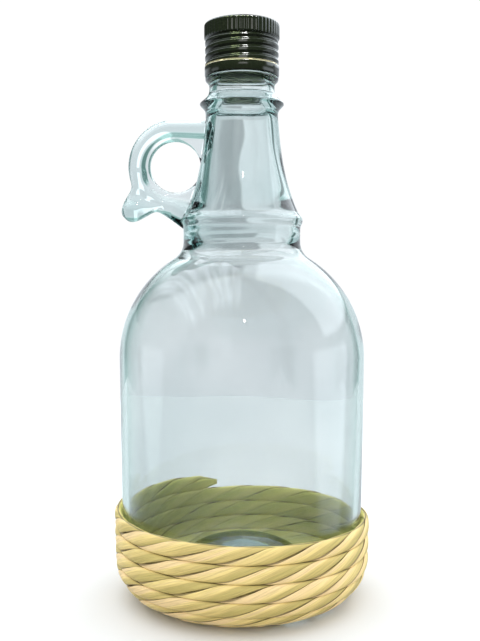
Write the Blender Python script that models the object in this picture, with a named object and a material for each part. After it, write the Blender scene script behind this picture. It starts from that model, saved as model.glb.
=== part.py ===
"""Glass jug with a finger-ring handle, a black screw cap and a woven wicker foot.

The model stands on z = 0 with the bottle's axis on the Z axis. The finger ring
points along -X. Everything is in metres, at real size.
"""
import math

import bmesh
import bpy
import numpy as np

# Clearance between pieces that touch, and the facets round a turned piece
FIT_GAP = 0.0003
GLASS_SEGMENTS = 30
CAP_SEGMENTS = 32

# Glass body: heights are measured up from the glass's own base
BODY_RADIUS = 0.0523
BODY_TAPER = 0.0011
BODY_HEIGHT = 0.0991
HEEL_RADIUS = 0.0145
SHOULDER_RADIUS = 0.0500
WAIST_RADIUS = 0.0250
WAIST_FILLET = 0.0082
WALL = 0.0024
BASE_THICKNESS = 0.0045
PUNT_HEIGHT = 0.0070

# Neck: a ring over the waist, a hollow taper, and a sharp bead below the finish
RING_RISE = 0.0090
RING_PROUD = 0.0009
RING_HALF_WIDTH = 0.0035
NECK_START_RISE = 0.0105
NECK_LENGTH = 0.0415
NECK_TOP_RADIUS = 0.0154
NECK_START_SLOPE = -0.50
NECK_END_SLOPE = -0.08
BEAD_RADIUS = 0.0178
BEAD_RISE = 0.0061
BORE_RADIUS = 0.0108
NECK_WALL_LOW = 0.0055

# Finish: the bottle's mouth, with a collar, a locking ring and a raised thread
FINISH_RADIUS = 0.0139
COLLAR_RADIUS = 0.0155
COLLAR_RISE = 0.0110
LOCKING_RING_PROUD = 0.0007
FINISH_HEIGHT = 0.0315
THREAD_PITCH = 0.003175
THREAD_PROUD = 0.0009
THREAD_WIDTH = 0.0019
THREAD_TURNS = 1.75
LIP_ROUND = 0.0008

# Finger ring beside the neck: a round hole in a thin web, with a thick rounded edge that
# ends in a tail; places are measured from the middle of the hole
RING_HOLE_RADIUS = 0.0107
RING_HOLE_X = 0.0282
RING_HOLE_DROP = 0.0202
RING_REACH = 0.0202
RING_TOP_RISE = 0.0196
RING_EDGE_RADIUS = 0.0036
RING_WEB = 0.0040
RING_TAIL_RADIUS = 0.0049
RING_TAIL_OUT = 0.0183
RING_TAIL_SPREAD = math.radians(14.2)
RING_ARM_DROP = 0.0164
RING_FLARE = 0.0062
RING_BURIED = 0.0013

# Screw cap: a rolled metal shell, knurled at the top, over a soft liner
CAP_RADIUS = 0.01575
CAP_WALL = 0.0005
CAP_TOP = 0.0005
LINER_THICKNESS = 0.0009
KNURL_HEIGHT = 0.0064
KNURL_DEPTH = 0.00025
KNURL_FLUTES = 54
CAP_CORNER = 0.0009
CAP_WAIST_DEPTH = 0.00055
CAP_GROOVE_DEPTH = 0.00055
BAND_HEIGHT = 0.0043
BAND_CURL = 0.0006

# Wicker foot: three flat weavers twisted round upright stakes in a rising spiral
SLEEVE_THICKNESS = 0.0032
SLEEVE_TOP = 0.0398
ROW_PITCH = 0.0073
ROW_TURNS = 5.5
STAKE_COUNT = 18
WEAVERS = 3
WEAVER_THICKNESS = 0.0009
RIM_END_ANGLE = math.radians(111)
STAKE_WIDTH = 0.0032
STAKE_THICKNESS = 0.0005
STAKE_INNER_RADIUS = 0.0140
MAT_THICKNESS = 0.0012

# Heights that follow from the sizes above
SLEEVE_OUTER_HEEL = HEEL_RADIUS + FIT_GAP + SLEEVE_THICKNESS
GLASS_BASE = SLEEVE_THICKNESS + FIT_GAP
HEEL_CENTRE_R = BODY_RADIUS - BODY_TAPER - HEEL_RADIUS
HEEL_CENTRE_Z = GLASS_BASE + HEEL_RADIUS
SHOULDER_Z = GLASS_BASE + BODY_HEIGHT
SHOULDER_CENTRE_R = BODY_RADIUS - SHOULDER_RADIUS
WAIST_CENTRE_R = WAIST_RADIUS + WAIST_FILLET
WAIST_Z = SHOULDER_Z + math.sqrt(
    (SHOULDER_RADIUS + WAIST_FILLET) ** 2 - (WAIST_CENTRE_R - SHOULDER_CENTRE_R) ** 2
)
RING_Z = WAIST_Z + RING_RISE
NECK_START_Z = WAIST_Z + NECK_START_RISE
NECK_TOP_Z = NECK_START_Z + NECK_LENGTH
BEAD_Z = NECK_TOP_Z + BEAD_RISE
COLLAR_Z = BEAD_Z + COLLAR_RISE
LIP_Z = BEAD_Z + FINISH_HEIGHT
BAND_LOW_Z = COLLAR_Z + FIT_GAP
BAND_TOP_Z = BAND_LOW_Z + BAND_HEIGHT
CAP_LOW_Z = BAND_TOP_Z + FIT_GAP
CAP_UNDER_Z = LIP_Z + LINER_THICKNESS + 2 * FIT_GAP
CAP_TOP_Z = CAP_UNDER_Z + CAP_TOP
KNURL_LOW_Z = CAP_TOP_Z - KNURL_HEIGHT
LOCKING_RING_Z = BAND_LOW_Z + 0.5 * BAND_HEIGHT
THREAD_ROOT_RADIUS = FINISH_RADIUS - 0.0001
THREAD_LOW_Z = CAP_LOW_Z + 0.5 * THREAD_PITCH


def clear_scene():
    for old in list(bpy.data.objects):
        bpy.data.objects.remove(old, do_unlink=True)


def material(name, colour, roughness, metallic=0.0, alpha=1.0, transmission=0.0):
    """A Principled material in the piece's own colour."""
    made = bpy.data.materials.new(name)
    made.use_nodes = True
    shader = made.node_tree.nodes["Principled BSDF"]
    shader.inputs["Base Color"].default_value = (*colour, 1.0)
    shader.inputs["Roughness"].default_value = roughness
    shader.inputs["Metallic"].default_value = metallic
    shader.inputs["Alpha"].default_value = alpha
    shader.inputs["Transmission Weight"].default_value = transmission
    made.diffuse_color = (*colour, alpha)
    return made


def finish_object(name, mesh, surface, smooth_angle=math.radians(40)):
    """Put a mesh in the scene as one named, smooth-shaded object."""
    mesh.materials.append(surface)
    mesh.shade_smooth()
    mesh.set_sharp_from_angle(angle=smooth_angle)
    made = bpy.data.objects.new(name, mesh)
    bpy.context.scene.collection.objects.link(made)
    return made


def face_outwards(mesh):
    """Merge doubled points and turn every face of a closed mesh to point out."""
    edit = bmesh.new()
    edit.from_mesh(mesh)
    bmesh.ops.remove_doubles(edit, verts=edit.verts, dist=1e-7)
    bmesh.ops.recalc_face_normals(edit, faces=edit.faces)
    edit.to_mesh(mesh)
    edit.free()


def loft(name, rings, surface):
    """Skin equal rings of points in order, with both ends capped."""
    count, sides = len(rings), len(rings[0])
    points = [tuple(p) for ring in rings for p in ring]
    faces = [tuple(reversed(range(sides))), tuple((count - 1) * sides + j for j in range(sides))]
    for i in range(count - 1):
        a, b = i * sides, (i + 1) * sides
        for j in range(sides):
            k = (j + 1) % sides
            faces.append((a + j, a + k, b + k, b + j))
    mesh = bpy.data.meshes.new(name)
    mesh.from_pydata(points, [], faces)
    face_outwards(mesh)
    return finish_object(name, mesh, surface)


def skin(name, rings, surface, smooth_angle=math.radians(40)):
    """Join rings that follow one closed outline; a ring of one point is a pole.

    Two rings may have unequal counts: their points are then zipped by angle.
    """
    points, loops = [], []
    for ring in rings:
        loops.append(list(range(len(points), len(points) + len(ring))))
        points += [tuple(p) for p in ring]
    faces = []
    for low, high in zip(loops, loops[1:] + loops[:1]):
        if len(low) == len(high) == 1:
            continue
        m, n = len(low), len(high)
        i = j = 0
        while i < m or j < n:
            corners = [low[i % m], high[j % n]]
            step_low = m > 1 and i < m and (i + 1) * n <= (j + 1) * m
            step_high = n > 1 and j < n and (j + 1) * m <= (i + 1) * n
            if n == 1:
                step_low, step_high = i < m, False
            if m == 1:
                step_low, step_high = False, j < n
            if step_high:
                corners.append(high[(j + 1) % n])
            if step_low:
                corners.append(low[(i + 1) % m])
            i += int(step_low)
            j += int(step_high)
            faces.append(tuple(corners))
            if (n == 1 and i == m) or (m == 1 and j == n):
                break
    mesh = bpy.data.meshes.new(name)
    mesh.from_pydata(points, [], faces)
    face_outwards(mesh)
    return finish_object(name, mesh, surface, smooth_angle)


def circle(radius, z, segments):
    """A ring of points round Z, or one point where the radius is nothing."""
    if radius < 1e-7:
        return [(0.0, 0.0, z)]
    turn = [2 * math.pi * i / segments for i in range(segments)]
    return [(radius * math.cos(a), radius * math.sin(a), z) for a in turn]


def revolve(name, profile, surface, segments):
    """Turn a closed (radius, height) outline round Z."""
    return skin(name, [circle(r, z, segments) for r, z in profile], surface)


def arc(centre_r, centre_z, radius, start, end, steps):
    """Points on a circle in the (radius, height) plane, angles in degrees from +R."""
    angles = np.radians(np.linspace(start, end, steps + 1))
    return [(centre_r + radius * math.cos(a), centre_z + radius * math.sin(a)) for a in angles]


def neck_radius(z):
    """Outer radius of the hollow taper: a cubic that leaves the ring and flattens out."""
    t = (z - NECK_START_Z) / NECK_LENGTH
    start_r = WAIST_RADIUS
    return (
        (1 + 2 * t) * (1 - t) ** 2 * start_r
        + t * (1 - t) ** 2 * NECK_LENGTH * NECK_START_SLOPE
        + t * t * (3 - 2 * t) * NECK_TOP_RADIUS
        - t * t * (1 - t) * NECK_LENGTH * NECK_END_SLOPE
    )


def union_into(target, tool):
    """Weld one closed solid into another and drop the tool."""
    join = target.modifiers.new("weld", "BOOLEAN")
    join.operation = "UNION"
    join.solver = "EXACT"
    join.object = tool
    depsgraph = bpy.context.evaluated_depsgraph_get()
    merged = bpy.data.meshes.new_from_object(target.evaluated_get(depsgraph))
    target.modifiers.clear()
    target.data = merged
    bpy.data.objects.remove(tool, do_unlink=True)


def bottle_profile():
    """Outline of the glass, from the outside of the base up to the lip and down inside."""
    heel_low = -90.0
    fillet_turn = math.degrees(math.atan2(WAIST_Z - SHOULDER_Z, WAIST_CENTRE_R - SHOULDER_CENTRE_R))
    outside = [(HEEL_CENTRE_R - 0.004, GLASS_BASE)]
    outside += arc(HEEL_CENTRE_R, HEEL_CENTRE_Z, HEEL_RADIUS, heel_low, 0, 4)
    outside += arc(SHOULDER_CENTRE_R, SHOULDER_Z, SHOULDER_RADIUS, 0, fillet_turn, 7)
    outside += arc(WAIST_CENTRE_R, WAIST_Z, WAIST_FILLET, fillet_turn + 180, 180, 3)[1:]
    outside += [
        (WAIST_RADIUS, RING_Z - RING_HALF_WIDTH),
        (WAIST_RADIUS + 0.6 * RING_PROUD, RING_Z - 0.5 * RING_HALF_WIDTH),
        (WAIST_RADIUS + RING_PROUD, RING_Z),
    ]
    for z in np.linspace(NECK_START_Z + 0.0010, NECK_TOP_Z, 7):
        outside.append((neck_radius(z), z))
    outside += [
        (BEAD_RADIUS - 0.0018, BEAD_Z - 0.0021),
        (BEAD_RADIUS - 0.0003, BEAD_Z - 0.0006),
        (BEAD_RADIUS, BEAD_Z),
        (BEAD_RADIUS - 0.0003, BEAD_Z + 0.0006),
        (FINISH_RADIUS + 0.0014, BEAD_Z + 0.0022),
        (FINISH_RADIUS, BEAD_Z + 0.0040),
        (FINISH_RADIUS, COLLAR_Z - 0.0030),
        (COLLAR_RADIUS - 0.0003, COLLAR_Z - 0.0008),
        (COLLAR_RADIUS, COLLAR_Z - 0.0003),
        (COLLAR_RADIUS - 0.0004, COLLAR_Z),
        (FINISH_RADIUS, COLLAR_Z),
        (FINISH_RADIUS, LOCKING_RING_Z - 0.0009),
        (FINISH_RADIUS + LOCKING_RING_PROUD, LOCKING_RING_Z),
        (FINISH_RADIUS, LOCKING_RING_Z + 0.0009),
        (THREAD_ROOT_RADIUS, CAP_LOW_Z),
        (THREAD_ROOT_RADIUS, LIP_Z - LIP_ROUND),
        (THREAD_ROOT_RADIUS - LIP_ROUND, LIP_Z),
        (BORE_RADIUS + LIP_ROUND, LIP_Z),
        (BORE_RADIUS, LIP_Z - LIP_ROUND),
    ]
    inner_heel = HEEL_RADIUS - WALL
    inner_shoulder = SHOULDER_RADIUS - WALL
    inner_low_r = neck_radius(NECK_START_Z + 0.1 * NECK_LENGTH) - NECK_WALL_LOW
    inner_waist_r = WAIST_RADIUS - WALL
    meet = math.degrees(math.acos((inner_waist_r - SHOULDER_CENTRE_R) / inner_shoulder))
    inside = [
        (BORE_RADIUS, NECK_TOP_Z + 0.3 * BEAD_RISE),
        (BORE_RADIUS + 0.0007, NECK_TOP_Z),
        (BORE_RADIUS + 0.0019, NECK_START_Z + 0.68 * NECK_LENGTH),
        (BORE_RADIUS + 0.0035, NECK_START_Z + 0.40 * NECK_LENGTH),
        (inner_low_r - 0.0012, NECK_START_Z + 0.2 * NECK_LENGTH),
        (inner_low_r + 0.0010, NECK_START_Z + 0.08 * NECK_LENGTH),
        (inner_waist_r - 0.0006, RING_Z - 0.5 * RING_HALF_WIDTH),
        (inner_waist_r, WAIST_Z),
    ]
    inside += arc(SHOULDER_CENTRE_R, SHOULDER_Z, inner_shoulder, meet - 3, 0, 6)
    floor_z = GLASS_BASE + BASE_THICKNESS
    corner_r = inner_heel - (floor_z - GLASS_BASE - WALL)
    inside += arc(HEEL_CENTRE_R + inner_heel - corner_r, floor_z + corner_r, corner_r, 0, -90, 3)
    punt_top = GLASS_BASE + PUNT_HEIGHT
    inside += [
        (0.62 * HEEL_CENTRE_R, floor_z + 0.35 * PUNT_HEIGHT),
        (0.30 * HEEL_CENTRE_R, floor_z + 0.85 * PUNT_HEIGHT),
        (0.0, punt_top + BASE_THICKNESS),
    ]
    under = [
        (0.0, punt_top),
        (0.30 * HEEL_CENTRE_R, GLASS_BASE + 0.85 * PUNT_HEIGHT),
        (0.62 * HEEL_CENTRE_R, GLASS_BASE + 0.35 * PUNT_HEIGHT),
    ]
    return outside + inside + under


def glass_thread():
    """Raised thread round the finish: a trapezoid that climbs and fades at both ends."""
    steps = int(THREAD_TURNS * GLASS_SEGMENTS)
    buried = 0.0006
    rings = []
    for i in range(steps + 1):
        angle = 2 * math.pi * (i + 0.5) / GLASS_SEGMENTS
        fade = min(1.0, (i + 1) / 4, (steps + 1 - i) / 4)
        z = THREAD_LOW_Z + THREAD_PITCH * angle / (2 * math.pi)
        crest = THREAD_ROOT_RADIUS + THREAD_PROUD * fade
        root = THREAD_ROOT_RADIUS - buried
        half_root = 0.5 * THREAD_WIDTH
        half_crest = 0.25 * THREAD_WIDTH
        section = [(root, -half_root), (crest, -half_crest), (crest, half_crest), (root, half_root)]
        rings.append([(r * math.cos(angle), r * math.sin(angle), z + dz) for r, dz in section])
    return loft("thread", rings, bpy.data.materials["green_glass"])


def ring_reach(turn, hole_z):
    """Distance from the hole's middle to the ring's outer edge, or to just inside the neck."""
    tail_turn = math.radians(225)
    flare_start, flare_end = math.radians(240), math.radians(277)
    reach = RING_REACH if turn > 0.5 * math.pi else 2 * RING_REACH
    if math.sin(turn) > 0.5:
        reach = min(reach, RING_TOP_RISE / math.sin(turn))
    bump = math.exp(-(abs(turn - tail_turn) / RING_TAIL_SPREAD) ** 2.8)
    reach += (math.sqrt(2) * RING_TAIL_OUT + RING_TAIL_RADIUS - RING_REACH) * bump
    reach += RING_FLARE * max(0.0, (turn - flare_start) / (flare_end - flare_start)) ** 2.6
    for r in np.arange(RING_HOLE_RADIUS + FIT_GAP, reach, FIT_GAP):
        z = hole_z + r * math.sin(turn)
        wall = WAIST_RADIUS if z < NECK_START_Z else neck_radius(z)
        if RING_HOLE_X - r * math.cos(turn) < wall - RING_BURIED:
            return r
    return reach


def ring_height(x, z):
    """Half thickness of the finger ring at a place measured from the hole's middle."""
    bend = RING_REACH - RING_EDGE_RADIUS
    top = RING_TOP_RISE - RING_EDGE_RADIUS
    tail = -RING_TAIL_OUT
    drop = -RING_ARM_DROP
    bars = [
        (-0.0030, top, 0.0160, top, RING_EDGE_RADIUS, 1.15 * RING_EDGE_RADIUS),
        (-bend, -0.0060, tail, tail, RING_EDGE_RADIUS, RING_TAIL_RADIUS),
        (tail, tail, 0.4 * tail, drop, RING_TAIL_RADIUS, 1.05 * RING_EDGE_RADIUS),
        (0.4 * tail, drop, 0.0090, drop - 0.0020, 1.05 * RING_EDGE_RADIUS, 1.3 * RING_EDGE_RADIUS),
    ]
    height = 0.5 * RING_WEB
    if x < 0 and z > -0.0060:
        off = math.hypot(x, z) - bend
        height = max(height, math.sqrt(max(0.0, RING_EDGE_RADIUS ** 2 - off * off)))
    for x0, z0, x1, z1, r0, r1 in bars:
        share = ((x - x0) * (x1 - x0) + (z - z0) * (z1 - z0)) / ((x1 - x0) ** 2 + (z1 - z0) ** 2)
        share = min(1.0, max(0.0, share))
        off = math.hypot(x - x0 - share * (x1 - x0), z - z0 - share * (z1 - z0))
        radius = r0 + share * (r1 - r0)
        height = max(height, math.sqrt(max(0.0, radius * radius - off * off)))
    return height


def finger_ring():
    """The ring as sections all the way round its hole; those beside the neck lie in its wall."""
    hole_z = NECK_TOP_Z - RING_HOLE_DROP
    turns = list(range(-75, 196, 15)) + list(range(201, 244, 6)) + [252, 262, 270, 277]
    rings = []
    for turn in np.radians(turns):
        reach = ring_reach(turn, hole_z)
        upper = []
        for share, fullness in ((0, 0.7), (0.12, 1), (0.38, 1), (0.62, 1), (0.85, 1), (1, 0.5)):
            r = RING_HOLE_RADIUS + share * (reach - RING_HOLE_RADIUS)
            x, z = r * math.cos(turn), r * math.sin(turn)
            upper.append((x - RING_HOLE_X, fullness * ring_height(x, z), z + hole_z))
        rings.append(upper + [(x, -y, z) for x, y, z in reversed(upper)])
    return skin("ring", rings, bpy.data.materials["green_glass"])


def glass_bottle():
    bottle = revolve(
        "glass_bottle", bottle_profile(), bpy.data.materials["green_glass"], GLASS_SEGMENTS
    )
    union_into(bottle, glass_thread())
    union_into(bottle, finger_ring())
    return bottle


def thread_wave(angle, z):
    """How far the shell is rolled in, 0 to 1: full midway between the thread's turns."""
    phase = (z - THREAD_LOW_Z) / THREAD_PITCH - angle / (2 * math.pi)
    phase -= round(phase)
    depth = max(0.0, -math.cos(2 * math.pi * phase))
    rise = (z - CAP_LOW_Z) / (0.4 * THREAD_PITCH)
    fall = (KNURL_LOW_Z - 0.3 * THREAD_PITCH - z) / (0.4 * THREAD_PITCH)
    return depth * min(1.0, max(0.0, rise), max(0.0, fall))


def cap_shell():
    """Rolled shell: plain hem, rolled thread, groove, knurled skirt and flat top."""
    hem = CAP_RADIUS - 0.0001
    shoulder = CAP_RADIUS - 0.5 * CAP_WAIST_DEPTH
    levels = [(CAP_LOW_Z, hem)]
    step = THREAD_PITCH / 3
    count = int((KNURL_LOW_Z - 0.0012 - CAP_LOW_Z) / step)
    levels += [(CAP_LOW_Z + step * i, shoulder) for i in range(1, count + 1)]
    levels += [(KNURL_LOW_Z - 0.0007, CAP_RADIUS - CAP_WAIST_DEPTH)]
    turn = [2 * math.pi * j / CAP_SEGMENTS for j in range(CAP_SEGMENTS)]
    outer, inner = [], []
    for z, radius in levels:
        rolled = [radius - CAP_GROOVE_DEPTH * thread_wave(a, z) for a in turn]
        outer.append([(r * math.cos(a), r * math.sin(a), z) for r, a in zip(rolled, turn)])
        inside = [r - CAP_WALL for r in rolled]
        inner.append([(r * math.cos(a), r * math.sin(a), z) for r, a in zip(inside, turn)])
    flutes = [math.pi * j / KNURL_FLUTES for j in range(2 * KNURL_FLUTES)]
    for z in (KNURL_LOW_Z, CAP_TOP_Z - CAP_CORNER):
        ribbed = [CAP_RADIUS + KNURL_DEPTH * (j % 2) for j in range(2 * KNURL_FLUTES)]
        outer.append([(r * math.cos(a), r * math.sin(a), z) for r, a in zip(ribbed, flutes)])
    for drop, z in ((0.3, CAP_TOP_Z - 0.3 * CAP_CORNER), (1.0, CAP_TOP_Z)):
        outer.append(circle(CAP_RADIUS - drop * CAP_CORNER, z, CAP_SEGMENTS))
    outer.append(circle(0.0, CAP_TOP_Z, 1))
    for z in (KNURL_LOW_Z, CAP_UNDER_Z):
        inner.append(circle(CAP_RADIUS - CAP_WALL, z, CAP_SEGMENTS))
    inner.append(circle(0.0, CAP_UNDER_Z, 1))
    surface = bpy.data.materials["black_lacquer"]
    return skin("cap_shell", outer + inner[::-1], surface, math.radians(30))


def cap_liner():
    radius = CAP_RADIUS - CAP_WALL - FIT_GAP
    low, high = LIP_Z + FIT_GAP, LIP_Z + FIT_GAP + LINER_THICKNESS
    profile = [(0.0, low), (radius, low), (radius, high), (0.0, high)]
    return revolve("cap_liner", profile, bpy.data.materials["liner_white"], CAP_SEGMENTS)


def tamper_band():
    """The torn-off hem of the cap: it stays on the neck, curled in under the locking ring."""
    inner = CAP_RADIUS - CAP_WALL
    profile = [
        (CAP_RADIUS - BAND_CURL, BAND_LOW_Z),
        (CAP_RADIUS, BAND_LOW_Z + BAND_CURL),
        (CAP_RADIUS, BAND_TOP_Z),
        (inner, BAND_TOP_Z),
        (inner, BAND_LOW_Z + BAND_CURL + 0.5 * CAP_WALL),
        (inner - BAND_CURL, BAND_LOW_Z + CAP_WALL),
        (inner - BAND_CURL, BAND_LOW_Z),
    ]
    return revolve("tamper_band", profile, bpy.data.materials["black_lacquer"], CAP_SEGMENTS)


SLEEVE_MID_HEEL = SLEEVE_OUTER_HEEL - 0.5 * SLEEVE_THICKNESS
SLEEVE_ARC = 0.5 * math.pi * SLEEVE_MID_HEEL
BODY_LEAN = BODY_TAPER / (SHOULDER_Z - HEEL_CENTRE_Z)


def sleeve_point(along, out, angle):
    """A point of the wicker: along its middle from under the heel, out from the middle."""
    if along < 0:
        radius, z = HEEL_CENTRE_R + along, HEEL_CENTRE_Z - SLEEVE_MID_HEEL - out
    elif along < SLEEVE_ARC:
        turn = along / SLEEVE_MID_HEEL
        radius = HEEL_CENTRE_R + (SLEEVE_MID_HEEL + out) * math.sin(turn)
        z = HEEL_CENTRE_Z - (SLEEVE_MID_HEEL + out) * math.cos(turn)
    else:
        rise = along - SLEEVE_ARC
        radius = HEEL_CENTRE_R + SLEEVE_MID_HEEL + out + BODY_LEAN * rise
        z = HEEL_CENTRE_Z + rise
    return (radius * math.cos(angle), radius * math.sin(angle), z)


# The twist of a row: three weavers share it, each out over two stakes, then in behind one;
# at the rim each end is tucked down onto the row below
TWIST_OUT = 0.5 * (SLEEVE_THICKNESS - WEAVER_THICKNESS)
TWIST_UP = ROW_PITCH / (4 * math.sin(math.radians(60)))
WEAVER_WIDTH = 0.5 * ROW_PITCH - FIT_GAP
END_DROP = ROW_PITCH - TWIST_UP - WEAVER_WIDTH - FIT_GAP
RIM_AXIS = SLEEVE_ARC + SLEEVE_TOP - HEEL_CENTRE_Z - TWIST_UP - 0.5 * WEAVER_WIDTH
START_AXIS = RIM_AXIS - ROW_PITCH * ROW_TURNS
FLAT_SHARE = (0.5 * STAKE_WIDTH + 2 * FIT_GAP) * STAKE_COUNT / (2 * math.pi * HEEL_CENTRE_R)
FLAT_TURN = 2 * math.pi * FLAT_SHARE / WEAVERS


def row_axis(travel):
    """Place of a row's middle along the sleeve after so many turns of the spiral."""
    return START_AXIS + ROW_PITCH * travel


def spiral_angle(travel):
    """Direction from the axis after so many turns; the spiral climbs clockwise to the rim's end."""
    return RIM_END_ANGLE + 2 * math.pi * (ROW_TURNS - travel)


def twist_out(turn):
    """Out and in of a weaver: a cosine with the flattest crest that doesn't dip."""
    wave = math.cos(turn)
    return TWIST_OUT * (wave + 0.5 * (1 - wave * wave))


def weaver(name, index):
    """One split weaver, flat behind and ridged in front, from under the heel to the rim.

    It runs straight where it passes a stake and bends halfway between two stakes.
    """
    crossings = round(ROW_TURNS * STAKE_COUNT)
    places = [j + o for j in range(crossings + 1) for o in (-FLAT_SHARE, FLAT_SHARE, 0.5)][:-1]
    half_width, half_thick = 0.5 * WEAVER_WIDTH, 0.5 * WEAVER_THICKNESS
    rings = []
    for place in places:
        travel = (place - index) / STAKE_COUNT
        angle = spiral_angle(travel)
        turn = math.pi - 2 * math.pi * place / WEAVERS
        along = row_axis(travel) + TWIST_UP * math.sin(turn)
        along -= END_DROP * min(1.0, max(0.0, 4 * (place - crossings) + 2))
        out = twist_out(turn)
        back = out - 0.5 * half_thick
        section = [(along - half_width, back), (along, out + half_thick), (along + half_width, back)]
        rings.append([sleeve_point(s, n, angle) for s, n in section])
    return loft(name, rings, bpy.data.materials["straw"])


def stake(name, index):
    """An upright splint: from under the jug, round the heel and up between the weavers."""
    travel = ROW_TURNS - 1 + (index + 1) / STAKE_COUNT
    angle = spiral_angle(travel)
    top = row_axis(travel) + 0.35 * TWIST_UP
    centre = 0.5 * (twist_out(math.pi - FLAT_TURN) + twist_out(math.pi / 3 + FLAT_TURN))
    flat = STAKE_INNER_RADIUS - HEEL_CENTRE_R
    levels = [flat] + list(np.linspace(0, SLEEVE_ARC, 7)) + [top]
    rings = []
    for along in levels:
        corners = []
        for out, side in ((-1, -1), (1, -1), (1, 1), (-1, 1)):
            x, y, z = sleeve_point(along, centre + 0.5 * out * STAKE_THICKNESS, 0.0)
            y = 0.5 * side * STAKE_WIDTH
            corners.append((
                x * math.cos(angle) - y * math.sin(angle),
                x * math.sin(angle) + y * math.cos(angle),
                z,
            ))
        rings.append(corners)
    return loft(name, rings, bpy.data.materials["straw_dark"])


def base_mat():
    """A flat woven disc under the stakes, which the jug stands on; its edge meets the spiral."""
    edge_gap = TWIST_UP + 0.5 * WEAVER_WIDTH + 2 * FIT_GAP
    start = -(WEAVERS - 0.5) / STAKE_COUNT
    edge = []
    for travel in np.linspace(start, start + 1, GLASS_SEGMENTS + 1):
        reach = (row_axis(travel) - edge_gap) / SLEEVE_MID_HEEL
        radius = HEEL_CENTRE_R + SLEEVE_MID_HEEL * math.sin(reach)
        edge.append((radius, spiral_angle(travel)))
    round_edge = 0.3 * MAT_THICKNESS
    rings = []
    side = MAT_THICKNESS - round_edge
    for inset, z in ((round_edge, 0), (0, round_edge), (0, side), (round_edge, MAT_THICKNESS)):
        rings.append([((r - inset) * math.cos(a), (r - inset) * math.sin(a), z) for r, a in edge])
    return loft("base_mat", rings, bpy.data.materials["straw_dark"])


def build():
    clear_scene()
    material("green_glass", (0.72, 0.80, 0.76), 0.05, alpha=0.45, transmission=1.0)
    material("black_lacquer", (0.012, 0.014, 0.010), 0.25, metallic=0.3)
    material("liner_white", (0.82, 0.82, 0.78), 0.6)
    material("straw", (0.80, 0.62, 0.30), 0.6)
    material("straw_dark", (0.55, 0.42, 0.20), 0.7)
    glass_bottle()
    cap_shell()
    cap_liner()
    tamper_band()
    base_mat()
    for index in range(STAKE_COUNT):
        stake(f"stake_{index + 1:02d}", index)
    for index, letter in enumerate("abc"[:WEAVERS]):
        weaver(f"weaver_{letter}", index)


build()
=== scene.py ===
"""A litre jug of pale green glass with a finger ring, a black screw cap and a wicker foot.

The jug stands on z = 0 with its axis on Z, its finger ring towards -X, and is seen from -Y.
"""
import math

import bmesh
import bpy
import numpy as np
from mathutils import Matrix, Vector


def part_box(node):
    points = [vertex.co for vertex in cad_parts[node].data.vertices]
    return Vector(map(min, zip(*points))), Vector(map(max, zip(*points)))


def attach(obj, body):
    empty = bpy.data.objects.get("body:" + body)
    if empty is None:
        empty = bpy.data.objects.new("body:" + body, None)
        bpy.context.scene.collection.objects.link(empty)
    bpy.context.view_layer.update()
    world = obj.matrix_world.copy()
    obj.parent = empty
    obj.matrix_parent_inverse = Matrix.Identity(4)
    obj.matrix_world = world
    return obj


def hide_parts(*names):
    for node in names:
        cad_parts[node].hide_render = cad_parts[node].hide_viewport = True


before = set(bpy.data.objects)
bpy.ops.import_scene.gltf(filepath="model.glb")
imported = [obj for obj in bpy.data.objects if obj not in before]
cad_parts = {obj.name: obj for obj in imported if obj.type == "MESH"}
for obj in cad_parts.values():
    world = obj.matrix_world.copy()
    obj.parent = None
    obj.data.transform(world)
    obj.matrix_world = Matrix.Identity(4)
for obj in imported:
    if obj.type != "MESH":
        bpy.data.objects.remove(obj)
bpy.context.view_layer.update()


# Glass jug
# One moulding of pale green bottle glass: a straight body under a round shoulder, a waist and
# a tapering neck with a ring at each end, and a threaded mouth. A finger ring is moulded onto
# the side of the neck. The inside is a little uneven, as blown glass is.

wall = 0.0024
body_radius = 0.0523
body_taper = 0.0011
body_height = 0.0991
heel_radius = 0.0145
heel_middle = body_radius - body_taper - heel_radius
shoulder_radius = 0.0500
shoulder_middle = 0.0023
waist_radius = 0.0250
waist_fillet = 0.0082
waist_middle = waist_radius + waist_fillet
neck_top_radius = 0.0154
neck_length = 0.0415

base_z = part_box("glass_bottle")[0].z
lip_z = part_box("glass_bottle")[1].z
collar_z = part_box("tamper_band")[0].z - 0.0003
bead_z = collar_z - 0.0110
neck_top_z = bead_z - 0.0061
neck_start_z = neck_top_z - neck_length
waist_z = neck_start_z - 0.0105
waist_ring_z = waist_z + 0.0090
shoulder_z = base_z + body_height


def neck_taper(z):
    """Outer radius of the neck at a height: a cubic that flattens out towards the bead.

    It leaves the waist's ring with a slope of 0.50 inwards and ends with one of 0.08.
    """
    t = (z - neck_start_z) / neck_length
    start = (1 + 2 * t) * (1 - t) ** 2 * waist_radius - t * (1 - t) ** 2 * neck_length * 0.50
    end = t * t * (3 - 2 * t) * neck_top_radius + t * t * (1 - t) * neck_length * 0.08
    return start + end


def bend(middle_r, middle_z, radius, start, end, count):
    """Points (radius, height) on a circle, from angle start to angle end in degrees."""
    angle = np.radians(np.linspace(start, end, count))
    return np.stack([middle_r + radius * np.cos(angle), middle_z + radius * np.sin(angle)], 1)


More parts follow.
